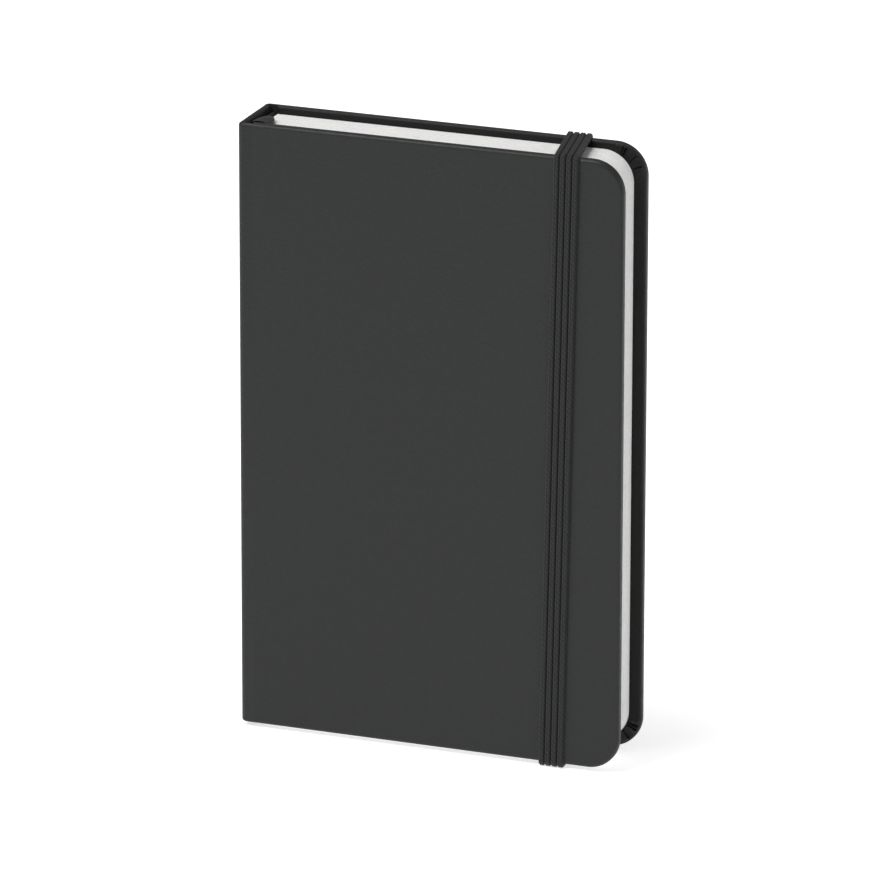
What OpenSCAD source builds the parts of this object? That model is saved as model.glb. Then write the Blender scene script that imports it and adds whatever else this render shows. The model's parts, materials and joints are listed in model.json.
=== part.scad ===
// Hard-cover pocket sketchbook, closed, standing on its tail edge.
// +Z is up the page, the spine is at -X and the front cover faces -Y.

/* [Case] */
// Height of the cover boards
cover_h = 140; // [120:1:210]
// Width of the case from the spine to the fore edge
cover_w = 90; // [70:1:140]
// Thickness of the closed case
case_t = 17.4; // [12:0.1:25]
// Thickness of one cover with its skin
cover_t = 2.2; // [1.6:0.1:3]
// Thickness of the covering material
skin_t = 0.3; // [0.2:0.05:0.5]
// Radius of the covers' fore corners
corner_r = 7.4; // [4:0.1:15]
// Radius of the covers' spine corners
spine_corner_r = 1; // [0.5:0.1:3]
// Width of the covering turned in round the boards
turn_in = 12; // [8:1:18]

/* [Spine] */
// Thickness of the spine stiffener
stiffener_t = 1; // [0.5:0.1:1.5]
// Distance of the folds of the signatures from the spine's face
fold_x = 3.4; // [3:0.1:6]
// Distance from the spine's face to the boards
board_x = 3.4; // [3:0.1:8]

/* [Block] */
// Number of sewn signatures
signatures = 12; // [12:1:12]
// Overhang of the covers at head and tail
square_z = 1.75; // [1:0.05:4]
// Overhang of the covers at the fore edge
square_x = 2.8; // [1:0.1:4]
// Radius of the leaves' fore corners
leaf_r = 7; // [3:0.1:14]
// Thickness of a flyleaf
flyleaf_t = 0.25; // [0.15:0.05:0.4]
// Thickness of the ribbon marker
ribbon_t = 0.25; // [0.2:0.05:0.4]
// Width of the ribbon marker
ribbon_w = 5; // [3:0.5:8]

/* [Elastic] */
// Width of the elastic strap
elastic_w = 5.9; // [4:0.1:10]
// Thickness of the elastic strap
elastic_t = 0.9; // [0.5:0.05:1.5]
// Place of the strap at the head of the front cover
elastic_top_x = 77; // [60:0.5:84]
// Place of the strap at the tail of the front cover
elastic_tail_x = 74.3; // [60:0.5:84]
// Place of the strap's slots in the back cover
slot_x = 73.8; // [60:0.5:84]
// Distance of the slots from the back cover's ends
slot_z = 14; // [10:1:30]
// Length of the strap's glued ends inside the back cover
tab_l = 9; // [6:1:20]

/* [Hidden] */
$fn = 64;
gap = 0.03;
half_t = case_t / 2;
z0 = elastic_t;
mid_x = cover_w / 2;
block_half = half_t - cover_t - gap;
inner_y = half_t - cover_t;
board_t = cover_t - 2 * skin_t;
leaf_h = cover_h - 2 * square_z;
leaf_z = z0 + square_z;
fore_x = cover_w - square_x;
ribbon_y = -block_half + flyleaf_t + gap;
first_y = ribbon_y + ribbon_t + gap;
last_y = block_half - flyleaf_t - gap;
sig_pitch = (last_y - first_y) / signatures;
hinge_x = 1.3;
stiffener_y = half_t - 1.8;
lining_t = 0.2;
mull_t = 0.15;
thread_r = 0.12;
lining_x = fold_x - 0.3 - lining_t - mull_t;
slack = 0.05;

// Outline in X and Z with small corners at the spine and large ones at the fore edge
module page_outline(x_a, x_b, z_a, z_b, r_spine, r_fore) {
    translate([x_a, z_a + r_spine]) square([r_spine, z_b - z_a - 2 * r_spine]);
    translate([x_a + r_spine, z_a]) square([x_b - x_a - r_spine - r_fore, z_b - z_a]);
    translate([x_b - r_fore - 0.001, z_a + r_fore])
        square([r_fore + 0.001, z_b - z_a - 2 * r_fore]);
    for (z = [z_a + r_spine, z_b - r_spine]) translate([x_a + r_spine, z]) circle(r_spine);
    for (z = [z_a + r_fore, z_b - r_fore]) translate([x_b - r_fore, z]) circle(r_fore);
}

// A plate that fills y_a to y_b and has a page outline
module page_plate(x_a, x_b, z_a, z_b, r_spine, r_fore, y_a, y_b) {
    translate([-mid_x, y_b, 0]) rotate([90, 0, 0]) linear_extrude(y_b - y_a)
        page_outline(x_a, x_b, z_a, z_b, r_spine, r_fore);
}

module block(x_a, x_b, y_a, y_b, z_a, z_b) {
    translate([x_a - mid_x, y_a, z_a]) cube([x_b - x_a, y_b - y_a, z_b - z_a]);
}

// The cover boards and their coverings are drawn for the back and mirrored for the front.
module board_plate() {
    page_plate(board_x + skin_t, cover_w - skin_t, z0 + skin_t, z0 + cover_h - skin_t,
        spine_corner_r - 0.2, corner_r - skin_t, half_t - skin_t - board_t, half_t - skin_t);
}

module covering() {
    difference() {
        page_plate(board_x, cover_w, z0, z0 + cover_h, spine_corner_r, corner_r,
            inner_y, half_t);
        board_plate();
        page_plate(board_x - 1, cover_w - turn_in, z0 + turn_in, z0 + cover_h - turn_in,
            1, 2, inner_y - 1, inner_y + skin_t);
    }
}

module pastedown_plate() {
    page_plate(board_x + 0.2, cover_w - turn_in - slack, z0 + turn_in + slack,
        z0 + cover_h - turn_in - slack, 1, 2, inner_y + gap, inner_y + skin_t);
}

// The strap's slots and the pocket for its glued ends
module strap_passage(grow) {
    w = elastic_w + 2 * grow;
    x = slot_x - w / 2;
    for (end = [0, 1]) {
        z_s = end == 0 ? z0 + slot_z - elastic_t : z0 + cover_h - slot_z;
        z_t = end == 0 ? z_s : z_s + elastic_t - tab_l;
        block(x, x + w, half_t - cover_t + skin_t, half_t + grow, z_s - grow,
            z_s + elastic_t + grow);
        block(x, x + w, half_t - cover_t + skin_t, half_t - cover_t + skin_t + elastic_t + grow,
            z_t - grow, z_t + tab_l + grow);
    }
}

module front_board() color("#9a8a70") mirror([0, 1, 0]) board_plate();
module front_leatherette() color("#3a3b3a") mirror([0, 1, 0]) covering();
module front_pastedown() color("#e4e3df") mirror([0, 1, 0]) pastedown_plate();
module back_pastedown() color("#e4e3df") pastedown_plate();

module back_board() color("#9a8a70") difference() {
    board_plate();
    strap_passage(slack);
}

module back_leatherette() color("#3a3b3a") difference() {
    covering();
    strap_passage(slack);
}

module spine_stiffener() color("#8d7f68") {
    block(skin_t, skin_t + stiffener_t, -stiffener_y, stiffener_y, z0 + skin_t,
        z0 + cover_h - skin_t);
}

// The covering over the spine, rounded at its long edges and turned in at head and tail
module spine_leatherette() color("#3a3b3a") {
    r = hinge_x;
    depth = stiffener_t + 2 * skin_t;
    translate([-mid_x, 0, z0]) difference() {
        linear_extrude(cover_h) {
            translate([0, -half_t + r]) square([depth, case_t - 2 * r]);
            for (side = [-1, 1]) intersection() {
                translate([r, side * (half_t - r)]) circle(r);
                translate([0, side > 0 ? half_t - r : -half_t]) square([r, r]);
            }
        }
        translate([skin_t, -stiffener_y, skin_t])
            cube([stiffener_t, 2 * stiffener_y, cover_h - 2 * skin_t]);
        translate([skin_t, -stiffener_y, turn_in])
            cube([2 * depth, 2 * stiffener_y, cover_h - 2 * turn_in]);
    }
}

// The flexible strip of covering between the spine and a board
module hinge_strip() {
    block(hinge_x, board_x - slack, half_t - skin_t, half_t, z0, z0 + cover_h);
    for (z = [z0, z0 + cover_h - turn_in]) {
        block(hinge_x + 0.7, board_x - slack, half_t - 2 * skin_t, half_t - skin_t, z, z + turn_in);
    }
}

module front_hinge_strip() color("#3a3b3a") mirror([0, 1, 0]) hinge_strip();
module back_hinge_strip() color("#3a3b3a") hinge_strip();

module kraft_lining() color("#a98d62") {
    block(lining_x, lining_x + lining_t, -block_half + 0.3, block_half - 0.3, leaf_z + 3,
        leaf_z + leaf_h - 3);
}

module spine_mull() color("#e6e0cf") {
    x = lining_x + lining_t;
    block(x, x + mull_t, -block_half + 0.3, block_half - 0.3, leaf_z + 8, leaf_z + leaf_h - 8);
}

// Long stitches along each fold, with links across between neighbours
module sewing_thread() color("#f0eee6") {
    x = fold_x - thread_r - 0.02 - mid_x;
    for (k = [0:signatures - 1]) {
        y = first_y + (k + 0.5) * sig_pitch;
        for (z = [24, 60, 96]) translate([x, y, leaf_z + z - 9])
            cylinder(h = 22, r = thread_r, $fn = 12);
    }
    for (z = [15, 37, 51, 73, 87, 109]) {
        translate([x, first_y + sig_pitch / 2, leaf_z + z]) rotate([-90, 0, 0])
            cylinder(h = sig_pitch * (signatures - 1), r = thread_r, $fn = 12);
    }
}

// A rolled bead at the end of the folds
module band(z) {
    translate([lining_x + 0.1 - mid_x, 0, z]) rotate([90, 0, 0])
        cylinder(h = 2 * block_half - 1, r = 0.55, center = true);
    block(lining_x - 0.35, lining_x - 0.1, -block_half + 0.5, block_half - 0.5,
        z > cover_h / 2 ? z - 5 : z, z > cover_h / 2 ? z : z + 5);
}

module headband() color("#3c3d3c") band(leaf_z + leaf_h + 0.2);
module tailband() color("#3c3d3c") band(leaf_z - 0.2);

// The ribbon's glued end in the hollow of the spine and its fold over the head
module ribbon_root() color("#2f302f") {
    top = leaf_z + leaf_h + 0.78;
    block(lining_x - 0.75, lining_x - 0.5, ribbon_y + 0.4, ribbon_y + 0.4 + ribbon_w, top - 24, top);
    block(lining_x - 0.75, fold_x + ribbon_w, ribbon_y, ribbon_y + 0.4 + ribbon_w, top,
        top + ribbon_t);
}

module ribbon_tail() color("#2f302f") {
    block(fold_x + 0.4, fold_x + 0.4 + ribbon_w, ribbon_y, ribbon_y + ribbon_t, leaf_z + 3,
        leaf_z + leaf_h + 0.7);
}

module leaf(y_a, y_b) {
    page_plate(fold_x, fore_x, leaf_z, leaf_z + leaf_h, 0.2, leaf_r, y_a, y_b);
}

module signature(k) color(k % 2 == 0 ? "#eceae6" : "#e2e0dc") {
    leaf(first_y + (k - 1) * sig_pitch, first_y + k * sig_pitch - gap);
}

module front_flyleaf() color("#e4e3df") leaf(-block_half, -block_half + flyleaf_t);
module back_flyleaf() color("#e4e3df") leaf(block_half - flyleaf_t, block_half);
module signature_01() signature(1);
module signature_02() signature(2);
module signature_03() signature(3);
module signature_04() signature(4);
module signature_05() signature(5);
module signature_06() signature(6);
module signature_07() signature(7);
module signature_08() signature(8);
module signature_09() signature(9);
module signature_10() signature(10);
module signature_11() signature(11);
module signature_12() signature(12);

// A slanted run of strap across one end of the case
module strap_end(x_front, z) {
    y = half_t + elastic_t;
    h = elastic_w / 2;
    translate([-mid_x, 0, z]) linear_extrude(elastic_t)
        polygon([[x_front - h, -y], [x_front + h, -y], [slot_x + h, y], [slot_x - h, y]]);
}

module elastic_band() color("#2c2d2c") {
    h = elastic_w / 2;
    translate([-mid_x, -half_t, 0]) rotate([90, 0, 0]) linear_extrude(elastic_t)
        polygon([[elastic_tail_x - h, 0], [elastic_tail_x + h, 0],
            [elastic_top_x + h, cover_h + 2 * z0], [elastic_top_x - h, cover_h + 2 * z0]]);
    strap_end(elastic_top_x, z0 + cover_h);
    strap_end(elastic_tail_x, 0);
    block(slot_x - h, slot_x + h, half_t, half_t + elastic_t, 0, z0 + slot_z);
    block(slot_x - h, slot_x + h, half_t, half_t + elastic_t, z0 + cover_h - slot_z,
        cover_h + 2 * z0);
    strap_passage(0);
}

front_board();
front_leatherette();
front_pastedown();
spine_stiffener();
spine_leatherette();
front_hinge_strip();
back_hinge_strip();
kraft_lining();
spine_mull();
sewing_thread();
headband();
tailband();
ribbon_root();
ribbon_tail();
front_flyleaf();
signature_01();
signature_02();
signature_03();
signature_04();
signature_05();
signature_06();
signature_07();
signature_08();
signature_09();
signature_10();
signature_11();
signature_12();
back_flyleaf();
back_board();
back_leatherette();
back_pastedown();
elastic_band();
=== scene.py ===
"""Hard-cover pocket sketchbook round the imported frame.

It has the covering, the sewn block, the ribbon marker and the elastic strap.
"""

import json
import math
import random

import bmesh
import bpy
from mathutils import Matrix, Vector

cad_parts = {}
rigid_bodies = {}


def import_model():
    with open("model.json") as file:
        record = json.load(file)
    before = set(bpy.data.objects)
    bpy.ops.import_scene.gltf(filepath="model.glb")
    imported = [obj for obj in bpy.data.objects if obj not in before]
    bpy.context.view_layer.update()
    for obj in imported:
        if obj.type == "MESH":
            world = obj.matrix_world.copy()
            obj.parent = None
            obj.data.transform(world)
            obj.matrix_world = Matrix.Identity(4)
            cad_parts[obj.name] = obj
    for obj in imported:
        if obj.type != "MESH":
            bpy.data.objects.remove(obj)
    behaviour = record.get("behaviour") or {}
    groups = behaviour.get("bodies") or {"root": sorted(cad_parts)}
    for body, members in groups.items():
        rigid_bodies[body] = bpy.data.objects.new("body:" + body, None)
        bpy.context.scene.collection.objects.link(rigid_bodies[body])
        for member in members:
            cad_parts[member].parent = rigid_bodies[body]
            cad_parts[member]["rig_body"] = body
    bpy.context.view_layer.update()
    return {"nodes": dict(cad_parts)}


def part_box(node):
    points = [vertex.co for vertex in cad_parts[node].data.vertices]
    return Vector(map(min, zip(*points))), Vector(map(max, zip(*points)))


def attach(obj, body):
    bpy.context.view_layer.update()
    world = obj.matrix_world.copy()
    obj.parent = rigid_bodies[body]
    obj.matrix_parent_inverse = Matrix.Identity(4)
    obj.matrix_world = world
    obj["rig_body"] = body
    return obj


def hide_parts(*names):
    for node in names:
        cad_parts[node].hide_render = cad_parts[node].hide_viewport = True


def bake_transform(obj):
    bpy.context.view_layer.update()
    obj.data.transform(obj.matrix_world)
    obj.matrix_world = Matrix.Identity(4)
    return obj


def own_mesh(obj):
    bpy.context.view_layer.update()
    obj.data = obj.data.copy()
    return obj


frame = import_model()
random.seed(7)

MM = 0.001


def box_mm(node):
    """A node's lowest and highest corners in millimetres."""
    lo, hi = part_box(node)
    return [v / MM for v in lo], [v / MM for v in hi]


# ---- sizes in millimetres, taken from the frame ----
cover_lo, cover_hi = box_mm("back_leatherette")
spine_lo, spine_hi = box_mm("spine_leatherette")
strip_lo, _ = box_mm("back_hinge_strip")
ribbon_lo, ribbon_hi = box_mm("ribbon_root")
tail_lo, tail_hi = box_mm("ribbon_tail")
_, flyleaf_hi = box_mm("front_flyleaf")

SPINE_X = spine_lo[0]
BOARD_X = cover_lo[0]
FORE_X = cover_hi[0]
HINGE_X = strip_lo[0]
TAIL_Z = cover_lo[2]
HEAD_Z = cover_hi[2]
HALF_T = cover_hi[1]
COVER_T = cover_hi[1] - cover_lo[1]
LEAF_TOP = flyleaf_hi[2]
SKIN_T = 0.3
CORNER_R = 7.4
EDGE_R = 0.75
RIM_R = 0.55
TURN_IN = 12.0
FLAP_T = 0.9
LEAVES = 6
LEAF_R = 7.0
GROOVE = 0.09


# ---- materials ----
def new_material(name):
    mat = bpy.data.materials.new(name)
    mat.use_nodes = True
    nodes = mat.node_tree.nodes
    coords = nodes.new("ShaderNodeTexCoord")
    return mat, mat.node_tree, nodes["Principled BSDF"], coords.outputs["Object"]


def noise(tree, coords, scale, detail=3.0, stretch=None):
    """Noise over the object's own coordinates, drawn out where stretch says."""
    if stretch:
        mapping = tree.nodes.new("ShaderNodeMapping")
        mapping.inputs["Scale"].default_value = stretch
        tree.links.new(coords, mapping.inputs["Vector"])
        coords = mapping.outputs["Vector"]
    node = tree.nodes.new("ShaderNodeTexNoise")
    node.inputs["Scale"].default_value = scale
    node.inputs["Detail"].default_value = detail
    tree.links.new(coords, node.inputs["Vector"])
    return node.outputs["Fac"]


def wave(tree, coords, scale, direction, distortion=0.0):
    node = tree.nodes.new("ShaderNodeTexWave")
    node.bands_direction = direction
    node.inputs["Scale"].default_value = scale
    node.inputs["Distortion"].default_value = distortion
    tree.links.new(coords, node.inputs["Vector"])
    return node.outputs["Fac"]


def cells(tree, coords, scale):
    node = tree.nodes.new("ShaderNodeTexVoronoi")
    node.inputs["Scale"].default_value = scale
    tree.links.new(coords, node.inputs["Vector"])
    return node.outputs["Distance"]


def combine(tree, a, b, operation="ADD"):
    node = tree.nodes.new("ShaderNodeMath")
    node.operation = operation
    tree.links.new(a, node.inputs[0])
    tree.links.new(b, node.inputs[1])
    return node.outputs["Value"]


def tint(tree, shader, factor, dark, light, socket="Base Color"):
    """Colours a socket between two values by a pattern."""
    ramp = tree.nodes.new("ShaderNodeValToRGB")
    ramp.color_ramp.elements[0].position = 0.3
    ramp.color_ramp.elements[1].position = 0.7
    ramp.color_ramp.elements[0].color = (*dark, 1)
    ramp.color_ramp.elements[1].color = (*light, 1)
    tree.links.new(factor, ramp.inputs["Fac"])
    tree.links.new(ramp.outputs["Color"], shader.inputs[socket])


def bump(tree, shader, height, strength, distance_mm):
    node = tree.nodes.new("ShaderNodeBump")
    node.inputs["Strength"].default_value = strength
    node.inputs["Distance"].default_value = distance_mm * MM
    tree.links.new(height, node.inputs["Height"])
    tree.links.new(node.outputs["Normal"], shader.inputs["Normal"])


def leatherette_material(name, dark, light, roughness):
    mat, tree, shader, coords = new_material(name)
    grain = combine(tree, cells(tree, coords, 1700), noise(tree, coords, 2600, 4))
    mottle = combine(tree, noise(tree, coords, 260, 5), grain)
    tint(tree, shader, combine(tree, mottle, mottle, "MULTIPLY"), dark, light)
    bump(tree, shader, grain, 0.6, 0.06)
    low, high = (roughness - 0.05,) * 3, (roughness + 0.05,) * 3
    tint(tree, shader, noise(tree, coords, 700, 3), low, high, "Roughness")
    shader.inputs["Specular IOR Level"].default_value = 0.24
    return mat


def paper_material(name, dark, light, fibre_scale=1500):
    mat, tree, shader, coords = new_material(name)
    tint(tree, shader, noise(tree, coords, fibre_scale, 6), dark, light)
    bump(tree, shader, noise(tree, coords, fibre_scale * 2, 4), 0.25, 0.02)
    shader.inputs["Roughness"].default_value = 0.85
    shader.inputs["Specular IOR Level"].default_value = 0.2
    return mat


def fabric_material(name, dark, light, thread_scale, roughness=0.7):
    """Crossed threads: fine waves along Z over fine waves along X and Y."""
    mat, tree, shader, coords = new_material(name)
    across = wave(tree, coords, thread_scale, "Z", 0.6)
    along = wave(tree, coords, thread_scale * 0.8, "DIAGONAL", 0.6)
    weave = combine(tree, across, along, "MULTIPLY")
    tint(tree, shader, weave, dark, light)
    bump(tree, shader, weave, 0.5, 0.06)
    shader.inputs["Roughness"].default_value = roughness
    shader.inputs["Specular IOR Level"].default_value = 0.28
    shader.inputs["Sheen Weight"].default_value = 0.06
    return mat


def board_material(name, dark, light):
    mat, tree, shader, coords = new_material(name)
    tint(tree, shader, noise(tree, coords, 900, 6, (1, 1, 0.3)), dark, light)
    bump(tree, shader, noise(tree, coords, 2500, 4), 0.4, 0.05)
    shader.inputs["Roughness"].default_value = 0.9
    return mat


LEATHERETTE = leatherette_material("leatherette", (0.0125, 0.0138, 0.0133), (0.0165, 0.0178, 0.0172), 0.46)
# A darker copy of the leatherette for the covers' inner faces: painted shade, standing in for the shadow
# that the block and the boards cast on the turn-ins.
PAINTED_SHADE_LEATHERETTE = leatherette_material("leatherette_turned_in_painted_shade",
                                 (0.0055, 0.0059, 0.0057), (0.009, 0.0096, 0.0093), 0.55)
PAPER = paper_material("leaf_paper", (0.75, 0.745, 0.735), (0.82, 0.815, 0.805))
ENDPAPER = paper_material("endpaper", (0.72, 0.715, 0.70), (0.80, 0.795, 0.78), 1100)
KRAFT = paper_material("kraft", (0.30, 0.20, 0.11), (0.42, 0.30, 0.18), 900)
BOARD = board_material("grey_board", (0.24, 0.20, 0.15), (0.36, 0.30, 0.22))
ELASTIC = fabric_material("elastic_weave", (0.011, 0.012, 0.0115), (0.030, 0.032, 0.031), 640)
RIBBON = fabric_material("ribbon_satin", (0.006, 0.0065, 0.006), (0.016, 0.017, 0.016), 1300, 0.5)
# Near-black band thread: a dark colour guessed for the thread, made darker still as painted shade for the
# hollow at the spine's ends.
BAND_PAINTED_SHADE = fabric_material("band_thread_painted_shade", (0.001, 0.0011, 0.001), (0.005, 0.0055, 0.005), 1100)
THREAD = fabric_material("sewing_thread", (0.68, 0.66, 0.60), (0.85, 0.83, 0.78), 1800)
MULL = fabric_material("mull_gauze", (0.66, 0.62, 0.52), (0.82, 0.78, 0.68), 1500)


# ---- mesh helpers ----
def add_piece(name, verts, faces, mat, replaced=(), body=None, sharp=35):
    """A mesh object from points in millimetres, riding on a body where one is named."""
    mesh = bpy.data.meshes.new(name)
    mesh.from_pydata([Vector(v) * MM for v in verts], [], faces)
    mesh.validate()
    mesh.update()
    mesh.materials.append(mat)
    for polygon in mesh.polygons:
        polygon.use_smooth = True
    obj = bpy.data.objects.new(name, mesh)
    bpy.context.scene.collection.objects.link(obj)
    face_outwards(mesh)
    mesh.set_sharp_from_angle(angle=math.radians(sharp))
    if replaced:
        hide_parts(*replaced)
    if body:
        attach(obj, body)
    return obj


def face_outwards(mesh):
    """Turns every face of a closed mesh outwards."""
    bm = bmesh.new()
    bm.from_mesh(mesh)
    bmesh.ops.recalc_face_normals(bm, faces=bm.faces)
    bm.to_mesh(mesh)
    bm.free()


def lofted(rings, closed_ring=True, caps=True):
    """Faces between rings that all have the same number of points."""
    verts = [p for ring in rings for p in ring]
    n = len(rings[0])
    faces = []
    for k in range(len(rings) - 1):
        for i in range(n if closed_ring else n - 1):
            j = (i + 1) % n
            faces.append((k * n + i, k * n + j, (k + 1) * n + j, (k + 1) * n + i))
    if caps:
        faces.append(tuple(range(n)))
        faces.append(tuple(range((len(rings) - 1) * n, len(rings) * n)))
    return verts, faces


def page_ring(x_a, x_b, z_a, z_b, r_spine, r_fore, steps=64, side_steps=6):
    """A page outline as (x, z, corner angle or None), starting at the tail's spine corner."""
    corners = [
        (x_a + r_spine, z_a + r_spine, r_spine, 180, 6),
        (x_b - r_fore, z_a + r_fore, r_fore, 270, steps),
        (x_b - r_fore, z_b - r_fore, r_fore, 0, steps),
        (x_a + r_spine, z_b - r_spine, r_spine, 90, 6),
    ]
    ring = []
    for k, (cx, cz, r, start, count) in enumerate(corners):
        for i in range(count + 1):
            a = math.radians(start + 90 * i / count)
            turn = i / count if count == steps else None
            ring.append((cx + r * math.cos(a), cz + r * math.sin(a), turn))
        if side_steps:
            next_x, next_z, next_r, next_start, _ = corners[(k + 1) % 4]
            end_x, end_z, _ = ring[-1]
            b = math.radians(next_start)
            to_x = next_x + next_r * math.cos(b)
            to_z = next_z + next_r * math.sin(b)
            for i in range(1, side_steps):
                f = i / side_steps
                ring.append((end_x + (to_x - end_x) * f, end_z + (to_z - end_z) * f, None))
    return ring


def arc(start, end, steps):
    """Angles in radians from start to end degrees."""
    return [math.radians(start + (end - start) * i / steps) for i in range(steps + 1)]


# ---- covers ----
PLEATS = 4
PLEAT_DEPTH = 0.27
PLEAT_RISE = 0.75


def pleat(turn, inset):
    """How deep a fold of the turn-in lies at a place round a fore corner."""
    if turn is None:
        return 0.0
    place = PLEATS * turn
    across = (place + 0.18 * math.sin(7.3 * place)) % 1.0
    start = min(1.0, inset / 0.8) * min(1.0, 12 * turn, 12 * (1 - turn))
    groove = PLEAT_DEPTH * math.exp(-(across / 0.16) ** 2) * max(0.0, 1 - inset / 9)
    rise = PLEAT_RISE * across * max(0.0, 1 - inset / 2.7)
    return start * (groove - rise)


def cover_profile():
    """(inset, depth, follows the spine edge) from the outer face round the rim to the inner face."""
    profile = [(7.0, 0.0, False), (1.6, 0.0, False), (EDGE_R + 0.25, 0.0, False)]
    profile += [(EDGE_R * (1 - math.sin(a)), EDGE_R * (1 - math.cos(a)), False) for a in arc(0, 90, 7)]
    side = COVER_T - RIM_R
    profile += [(RIM_R * (1 - math.cos(a)), side + RIM_R * math.sin(a), True) for a in arc(0, 90, 6)]
    profile += [(RIM_R + step, COVER_T, True) for step in (0.25, 0.7, 1.4, 2.4, 3.6, 5, 7, 9)]
    profile += [(TURN_IN - 0.1, COVER_T, True), (TURN_IN, COVER_T - 0.1, True)]
    profile += [(TURN_IN + 0.02, COVER_T - SKIN_T + 0.05, True)]
    return profile


def cover_piece(side, body, prefix):
    """The covering of one board; side is -1 for the front and 1 for the back."""
    rings = []
    for inset, depth, spine_too in cover_profile():
        spine_inset = min(inset, 3.0) if spine_too else 0.0
        ring = page_ring(BOARD_X + spine_inset, FORE_X - inset, TAIL_Z + inset, HEAD_Z - inset,
                         0.08, max(CORNER_R - inset, 1.2))
        on_face = depth >= COVER_T - 0.01
        rings.append([(x, side * (HALF_T - depth + (pleat(t, inset) if on_face else 0)), z)
                      for x, z, t in ring])
    verts, faces = lofted(rings)
    piece = add_piece(prefix + "_cover_covering", verts, faces, LEATHERETTE,
                      [prefix + "_leatherette"], body)
    # The inner faces take the darker leatherette copy: painted shade on the turn-ins, not a different
    # covering.
    piece.data.materials.append(PAINTED_SHADE_LEATHERETTE)
    inner_face = (HALF_T - COVER_T + RIM_R * 0.6) * MM
    for polygon in piece.data.polygons:
        if abs(polygon.center.y) < inner_face:
            polygon.material_index = 1
    return piece


def pastedown_piece(side, body, prefix):
    """The paper glued inside a cover, over the edges of the turn-ins."""
    lo, hi = box_mm(prefix + "_pastedown")
    rings = []
    top = COVER_T - 0.02
    for inset, depth in ((0, COVER_T - SKIN_T + 0.02), (0, top - 0.05), (0.05, top), (0.6, top)):
        ring = page_ring(lo[0] + inset, hi[0] - inset, lo[2] + inset, hi[2] - inset, 0.8, 1.6, 8, 0)
        rings.append([(x, side * (HALF_T - depth), z) for x, z, _ in ring])
    verts, faces = lofted(rings)
    return add_piece(prefix + "_pastedown_sheet", verts, faces, ENDPAPER,
                     [prefix + "_pastedown"], body)


def edge_loop(thickness):
    """(depth, z) round a strip whose head and tail edges are rounded."""
    r = min(EDGE_R, thickness * 0.8)
    back = thickness - r
    loop = [(r * (1 - math.cos(a)), HEAD_Z - r + r * math.sin(a)) for a in arc(0, 90, 6)]
    loop += [(thickness - back * (1 - math.sin(a)), HEAD_Z - back * (1 - math.cos(a)))
             for a in arc(0, 90, 4)]
    loop += [(depth, TAIL_Z + HEAD_Z - z) for depth, z in reversed(loop)]
    return loop


def strip_piece(name, path, replaced, body=None):
    """A strip of covering along path, a list of (x, y, inward normal x, inward normal y, thickness)."""
    rings = []
    for x, y, nx, ny, thickness in path:
        rings.append([(x + nx * d, y + ny * d, z) for d, z in edge_loop(thickness)])
    verts, faces = lofted(rings)
    return add_piece(name, verts, faces, LEATHERETTE, replaced, body, 50)


def spine_piece():
    r = HINGE_X - SPINE_X
    full = spine_hi[0] - spine_lo[0]
    path = []
    for a in arc(0, 90, 8):
        path.append((HINGE_X - r * math.sin(a), -HALF_T + r * (1 - math.cos(a)),
                     math.sin(a), math.cos(a), FLAP_T))
    flat = HALF_T - r - 0.1
    for k in range(7):
        path.append((SPINE_X, -flat + flat * k / 3, 1, 0, full))
    for a in arc(90, 0, 8):
        path.append((HINGE_X - r * math.sin(a), HALF_T - r * (1 - math.cos(a)),
                     math.sin(a), -math.cos(a), FLAP_T))
    return strip_piece("spine_covering", path, ["spine_leatherette"], "block")


def hinge_piece(side, prefix):
    """The covering over the joint between the spine and a board."""
    steps = 10
    path = [(HINGE_X + (BOARD_X - HINGE_X) * k / steps, side * HALF_T, 0, -side, FLAP_T)
            for k in range(steps + 1)]
    piece = strip_piece(prefix + "_hinge_covering", path, [prefix + "_hinge_strip"])
    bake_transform(piece)
    return piece


# ---- paper ----
def leaf_piece(node, mat, leaves, piece_name):
    """A stack of leaves with a rounded fold and open edges between the leaves."""
    lo, hi = box_mm(node)
    thick = hi[1] - lo[1]
    step = thick / leaves
    rings = []
    for k in range(leaves):
        slip = random.uniform(0.0, 0.10)
        lift = random.uniform(0.0, 0.06)
        for depth, inset in ((0, GROOVE), (0.12, 0), (0.88, 0), (1.0, GROOVE)):
            if leaves == 1:
                inset = inset * 0.4
            if k and depth == 0:
                continue
            y = lo[1] + (k + depth) * step
            across = (y - lo[1] - thick / 2) / (thick / 2)
            fold = 0.5 * thick * (1 - math.sqrt(max(0.0, 1 - across * across)))
            ring = page_ring(lo[0] + min(fold, 0.5), hi[0] - inset - slip, lo[2] + inset + lift,
                             hi[2] - inset - lift, 0.2, LEAF_R - inset, 18, 0)
            rings.append([(x, y, z) for x, z, _ in ring])
    verts, faces = lofted(rings)
    body = frame["nodes"][node]["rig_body"]
    return add_piece(piece_name, verts, faces, mat, [node], body, 30)


# ---- ribbon marker ----
def ribbon_fold():
    """The ribbon's fold over the head, a low mound that runs back from where it goes between the leaves."""
    x_c = SPINE_X + 4.15
    y_c = tail_lo[1] - 0.1
    radius_x = 2.3
    radius_y = 7.6
    base = LEAF_TOP + 0.5
    rings = []
    outward = [0.02, 0.2, 0.4, 0.6, 0.75, 0.86, 0.94, 0.985, 1.0]
    for f in outward:
        ring = []
        for a in arc(0, 180, 32):
            crease = 0.10 * math.sin(7 * a + 1.0) * f * (1 - f)
            z = base + 0.15 + 1.2 * math.sqrt(max(0.0, 1 - f ** 2.6)) + crease
            ring.append((x_c + radius_x * f * math.cos(a), y_c + radius_y * f * math.sin(a), z))
        rings.append(ring)
    for f in reversed(outward):
        rings.append([(x_c + radius_x * f * math.cos(a), y_c + radius_y * f * math.sin(a), base)
                      for a in arc(0, 180, 32)])
    verts, faces = lofted(rings, closed_ring=False, caps=False)
    return add_piece("ribbon_head_fold", verts, faces, RIBBON, ["ribbon_root"], "block", 60)


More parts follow.
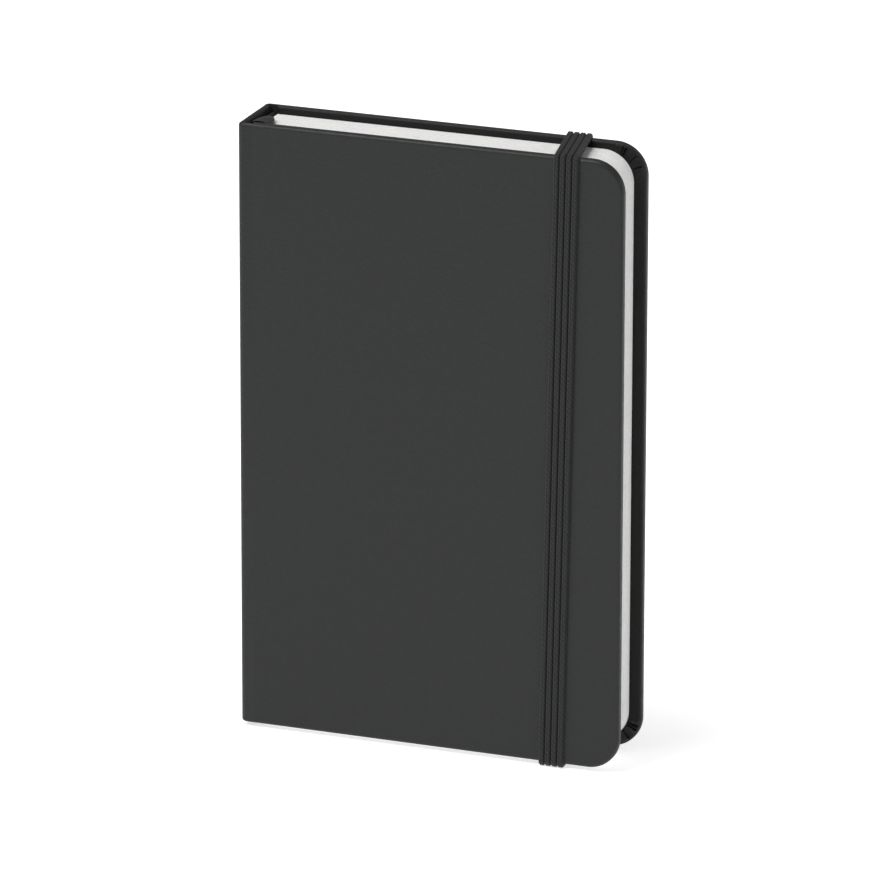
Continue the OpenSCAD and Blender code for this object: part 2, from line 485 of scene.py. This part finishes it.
def ribbon_strip(name, lo, hi, thin_axis, body, replaced, angled):
    """A flat length of ribbon with rounded selvedges; its tail is cut at a slant where angled says."""
    rings = []
    steps = 24
    wide = hi[0] - lo[0] if thin_axis == 1 else hi[1] - lo[1]
    for k in range(steps + 1):
        z = lo[2] + (hi[2] - lo[2]) * k / steps
        ring = []
        for u, v in ((0, 0.2), (0.03, 0), (0.5, 0.08), (0.97, 0), (1, 0.2), (1, 0.8), (0.97, 1),
                     (0.5, 0.92), (0.03, 1), (0, 0.8)):
            cut = angled * (1 - k / steps) ** 8 * u * wide * 0.7
            if thin_axis == 1:
                ring.append((lo[0] + u * wide, lo[1] + v * (hi[1] - lo[1]), z + cut))
            else:
                ring.append((lo[0] + v * (hi[0] - lo[0]), lo[1] + u * wide, z + cut))
        rings.append(ring)
    verts, faces = lofted(rings)
    return add_piece(name, verts, faces, RIBBON, replaced, body, 50)


# ---- spine linings ----
def band_piece(node):
    """A rolled bead wound with thread."""
    lo, hi = box_mm(node)
    at_head = node == "headband"
    radius = 0.42
    drop = 0.2
    x_c = hi[0] - radius - drop
    z_c = hi[2] - radius - drop if at_head else lo[2] + radius + drop
    rings = []
    count = 96
    for k in range(count + 1):
        y = lo[1] + (hi[1] - lo[1]) * k / count
        r = radius * (0.9 + 0.1 * math.cos(2 * math.pi * k / 4))
        if k in (0, count):
            r = radius * 0.6
        rings.append([(x_c + r * math.cos(a), y, z_c + r * math.sin(a)) for a in arc(0, 337.5, 15)])
    verts, faces = lofted(rings)
    # The bead takes the near-black band colour: its own dark thread, darkened further as painted shade for
    # the spine hollow.
    return add_piece(node + "_bead", verts, faces, BAND_PAINTED_SHADE, [node], "block", 60)


def tube(points, radius, sides=8):
    """A round thread through points that run along Y or Z."""
    rings = []
    for k, p in enumerate(points):
        a, b = Vector(points[max(k - 1, 0)]), Vector(points[min(k + 1, len(points) - 1)])
        d = (b - a).normalized()
        u = Vector((1, 0, 0))
        v = d.cross(u).normalized()
        u = v.cross(d)
        rings.append([tuple(Vector(p) + radius * (math.cos(t) * u + math.sin(t) * v))
                      for t in arc(0, 360 - 360 / sides, sides - 1)])
    return rings


def joined(parts):
    """One list of vertices and faces from several."""
    verts, faces = [], []
    for part_verts, part_faces in parts:
        base = len(verts)
        verts += part_verts
        faces += [tuple(base + i for i in face) for face in part_faces]
    return verts, faces


STITCH = 22
STITCH_PITCH = 36


def sewing_piece():
    """Long stitches along each fold, and the links between neighbours."""
    lo, hi = box_mm("sewing_thread")
    x = (lo[0] + hi[0]) / 2
    radius = (hi[0] - lo[0]) / 2 * 0.9
    folds = [sum(box_mm("signature_%02d" % k)[i][1] for i in (0, 1)) / 2 for k in range(1, 13)]
    parts = []
    stations = [(lo[2] + start, lo[2] + start + STITCH) for start in (0, STITCH_PITCH, 2 * STITCH_PITCH)]
    for y in folds:
        for z_a, z_b in stations:
            points = [(x, y, z_a + (z_b - z_a) * i / 12) for i in range(13)]
            parts.append(lofted(tube(points, radius)))
    for z in [z for pair in stations for z in pair]:
        points = [(x, folds[0] + (folds[-1] - folds[0]) * i / 44, z + 0.12 * math.cos(i * math.pi / 2))
                  for i in range(45)]
        parts.append(lofted(tube(points, radius * 0.9)))
    verts, faces = joined(parts)
    return add_piece("sewn_stitches", verts, faces, THREAD, ["sewing_thread"], "block", 60)


def bar(a, b):
    """A box between two opposite corners."""
    ring = [(a[0], a[1]), (b[0], a[1]), (b[0], b[1]), (a[0], b[1])]
    return lofted([[(x, y, z) for x, y in ring] for z in (a[2], b[2])])


MULL_UP = 19
MULL_ACROSS = 171


def mull_piece():
    """Open gauze: crossed threads over the folds."""
    lo, hi = box_mm("spine_mull")
    mid = (lo[0] + hi[0]) / 2
    half = 0.09
    parts = []
    for k in range(MULL_UP):
        y = lo[1] + half + (hi[1] - lo[1] - 2 * half) * k / (MULL_UP - 1)
        parts.append(bar((lo[0], y - half, lo[2]), (mid, y + half, hi[2])))
    for k in range(MULL_ACROSS):
        z = lo[2] + half + (hi[2] - lo[2] - 2 * half) * k / (MULL_ACROSS - 1)
        parts.append(bar((mid, lo[1], z - half), (hi[0], hi[1], z + half)))
    verts, faces = joined(parts)
    return add_piece("spine_gauze", verts, faces, MULL, ["spine_mull"], "block")


# ---- elastic strap ----
ELASTIC_W = 5.9
ELASTIC_T = 0.9
TOP_X = SPINE_X + 77
BOTTOM_X = SPINE_X + 74.3
SLOT_X = SPINE_X + 73.8
SLOT_IN = 14.0
TAB = 9.0
RIBS = 4


def elastic_path():
    """(x, y, z, corner rounding) along the strap's inner side.

    It runs from the strap's tail end inside the back cover round to its head end.
    """
    inside = HALF_T - COVER_T + SKIN_T
    tail_slot = TAIL_Z + SLOT_IN - ELASTIC_T
    head_slot = HEAD_Z - SLOT_IN + ELASTIC_T
    return [
        (SLOT_X, inside, tail_slot + TAB, 0.0),
        (SLOT_X, inside, tail_slot, 1.0),
        (SLOT_X, HALF_T, tail_slot, 0.8),
        (SLOT_X, HALF_T, TAIL_Z, 0.6),
        (BOTTOM_X, -HALF_T, TAIL_Z, 0.6),
        (TOP_X, -HALF_T, HEAD_Z, 0.6),
        (SLOT_X, HALF_T, HEAD_Z, 0.6),
        (SLOT_X, HALF_T, head_slot, 0.8),
        (SLOT_X, inside, head_slot, 1.0),
        (SLOT_X, inside, head_slot - TAB, 0.0),
    ]


def rounded_path(corners, spacing=2.5, steps=7):
    """Points along the corners' polyline, with each corner rounded by its own distance."""
    points = []
    for k, (*p, r) in enumerate(corners):
        p = Vector(p)
        if k in (0, len(corners) - 1):
            points.append(p)
            continue
        before = (Vector(corners[k - 1][:3]) - p).normalized()
        after = (Vector(corners[k + 1][:3]) - p).normalized()
        for i in range(steps + 1):
            f = i / steps
            start, end = p + before * r, p + after * r
            points.append(start * (1 - f) ** 2 + p * 2 * f * (1 - f) + end * f * f)
    dense = [points[0]]
    for p in points[1:]:
        gap = (p - dense[-1]).length
        last = dense[-1]
        for i in range(1, int(gap / spacing) + 1):
            dense.append(last.lerp(p, i / (int(gap / spacing) + 1)))
        dense.append(p)
    return dense


def elastic_section():
    """(across, height) round the strap: corded ribs on the outside, flat inside."""
    outer = []
    steps = 20 * RIBS
    for i in range(steps + 1):
        u = i / steps
        edge = min(1.0, min(u, 1 - u) / 0.03)
        to_groove = abs((RIBS * u + 0.5) % 1 - 0.5)
        rib = 1 - math.exp(-(to_groove / 0.11) ** 2)
        cord = 0.5 + 0.5 * math.cos(2 * math.pi * 3 * RIBS * u)
        height = ELASTIC_T * (0.40 + 0.50 * rib + 0.10 * cord * rib) * (0.4 + 0.6 * math.sqrt(edge))
        outer.append((ELASTIC_W * (u - 0.5), height))
    inner = [(ELASTIC_W * (0.5 - i / 8), 0.02) for i in range(9)]
    return outer + inner


def elastic_piece():
    path = rounded_path(elastic_path())
    section = elastic_section()
    rings = []
    for k, p in enumerate(path):
        d = path[min(k + 1, len(path) - 1)] - path[max(k - 1, 0)]
        out = Vector((0, -d.z, d.y)).normalized()
        rings.append([tuple(p + Vector((across, 0, 0)) + out * height) for across, height in section])
    verts, faces = lofted(rings)
    piece = add_piece("elastic_strap", verts, faces, ELASTIC, ["elastic_band"],
                      "back_cover", 50)
    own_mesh(piece)
    return piece


# ---- build ----
for side, prefix in ((-1, "front"), (1, "back")):
    cover_piece(side, prefix + "_cover", prefix)
    pastedown_piece(side, prefix + "_cover", prefix)
    hinge_piece(side, prefix)
spine_piece()

for prefix in ("front", "back"):
    leaf_piece(prefix + "_flyleaf", ENDPAPER, 1, prefix + "_fly_sheet")
for number in range(1, 13):
    leaf_piece("signature_%02d" % number, PAPER, LEAVES, "sewn_leaves_%02d" % number)

ribbon_fold()
tongue_hi = [ribbon_lo[0] + 0.25, ribbon_hi[1], LEAF_TOP + 0.9]
tongue_lo = [ribbon_lo[0], ribbon_lo[1] + 0.4, ribbon_lo[2]]
ribbon_strip("ribbon_glued_end", tongue_lo, tongue_hi, 0, "block", [], 0)
ribbon_strip("ribbon_marker", tail_lo, tail_hi, 1, "leaf_ribbon", ["ribbon_tail"], 1)

for node in ("headband", "tailband"):
    band_piece(node)
sewing_piece()
mull_piece()
elastic_piece()

for node, mat in (("front_board", BOARD), ("back_board", BOARD), ("spine_stiffener", BOARD),
                  ("kraft_lining", KRAFT)):
    mesh = frame["nodes"][node].data
    mesh.materials.clear()
    mesh.materials.append(mat)


# ---- floor, light and camera ----
def plain(name, colour, glow):
    mat = bpy.data.materials.new(name)
    mat.use_nodes = True
    shader = mat.node_tree.nodes["Principled BSDF"]
    shader.inputs["Base Color"].default_value = (*colour, 1)
    shader.inputs["Roughness"].default_value = 0.9
    shader.inputs["Specular IOR Level"].default_value = 0.0
    shader.inputs["Emission Color"].default_value = (1, 1, 1, 1)
    shader.inputs["Emission Strength"].default_value = glow
    return mat


floor_mesh = bpy.data.meshes.new("floor")
reach = 6.0
floor_mesh.from_pydata([(-reach, -reach, 0), (reach, -reach, 0), (reach, reach, 0), (-reach, reach, 0)],
                       [], [(0, 1, 2, 3)])
floor_mesh.materials.append(plain("pale_floor", (0.9, 0.9, 0.9), 0.62))
floor = bpy.data.objects.new("floor", floor_mesh)
bpy.context.scene.collection.objects.link(floor)


def area_light(name, place, target, size, power):
    data = bpy.data.lights.new(name, "AREA")
    data.size = size
    data.energy = power
    obj = bpy.data.objects.new(name, data)
    obj.location = place
    obj.rotation_mode = "QUATERNION"
    obj.rotation_quaternion = (Vector(target) - Vector(place)).to_track_quat("-Z", "Y")
    bpy.context.scene.collection.objects.link(obj)


centre = (0, 0, 0.07)
area_light("key", (-0.45, -0.62, 0.78), centre, 0.35, 2.9)
area_light("top", (-0.35, -0.35, 1.4), centre, 0.6, 12)
area_light("fore_edge", (1.5, -0.2, 0.5), centre, 0.7, 3.6)

world = bpy.data.worlds.new("studio")
bpy.context.scene.world = world
world.use_nodes = True
world.node_tree.nodes["Background"].inputs["Color"].default_value = (1, 1, 1, 1)
world.node_tree.nodes["Background"].inputs["Strength"].default_value = 0.3
bpy.context.scene.view_settings.view_transform = "Standard"

CAMERA_AZIMUTH = 20.75
CAMERA_ELEVATION = 18.22
CAMERA_ROLL = 0.1
CAMERA_DISTANCE = 1.836
LENS = 345.6
camera_data = bpy.data.cameras.new("camera")
camera_data.sensor_width = 36
camera_data.lens = LENS
camera_data.clip_start = 0.05
camera = bpy.data.objects.new("camera", camera_data)
bpy.context.scene.collection.objects.link(camera)
azimuth = math.radians(CAMERA_AZIMUTH)
elevation = math.radians(CAMERA_ELEVATION)
back = Vector((math.sin(azimuth) * math.cos(elevation), -math.cos(azimuth) * math.cos(elevation),
               math.sin(elevation)))
aim = Vector((SPINE_X + 46.5, -HALF_T, TAIL_Z + 73.4)) * MM
camera.location = aim + back * CAMERA_DISTANCE
turned = (-back).to_track_quat("-Z", "Y").to_matrix().to_4x4()
camera.rotation_mode = "QUATERNION"
camera.rotation_quaternion = (turned @ Matrix.Rotation(math.radians(CAMERA_ROLL), 4, "Z")).to_quaternion()
bpy.context.scene.camera = camera
